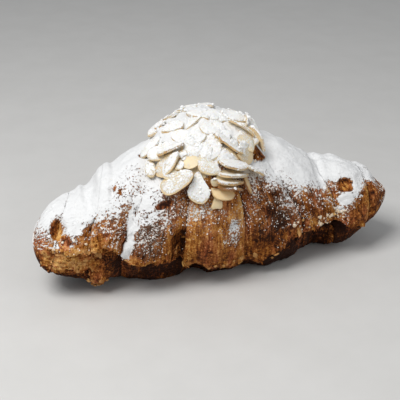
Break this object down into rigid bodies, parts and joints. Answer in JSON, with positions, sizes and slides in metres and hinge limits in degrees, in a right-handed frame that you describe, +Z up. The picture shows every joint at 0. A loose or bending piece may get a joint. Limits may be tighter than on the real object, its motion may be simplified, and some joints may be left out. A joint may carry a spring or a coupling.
{
  "type": "almond croissant",
  "caption": "Baked croissant with a tapering rolled body, overlapping spiral dough rims, a mound of sliced almonds on its crown and a flat base to rest on.",
  "frame": {"origin": "middle of the flat base, under the middle of the pastry's length and depth", "axes": "+X along the pastry from the blunt left horn to the pointed right horn, +Y towards the back, +Z up; the front that the picture shows faces -Y"},
  "size_m": [0.168, 0.0789, 0.072],
  "materials": {
    "baked_crust": "satin baked crust dusted with icing sugar"
  },
  "bodies": {
    "root": {"croissant": "baked_crust"}
  },
  "joints": []
}
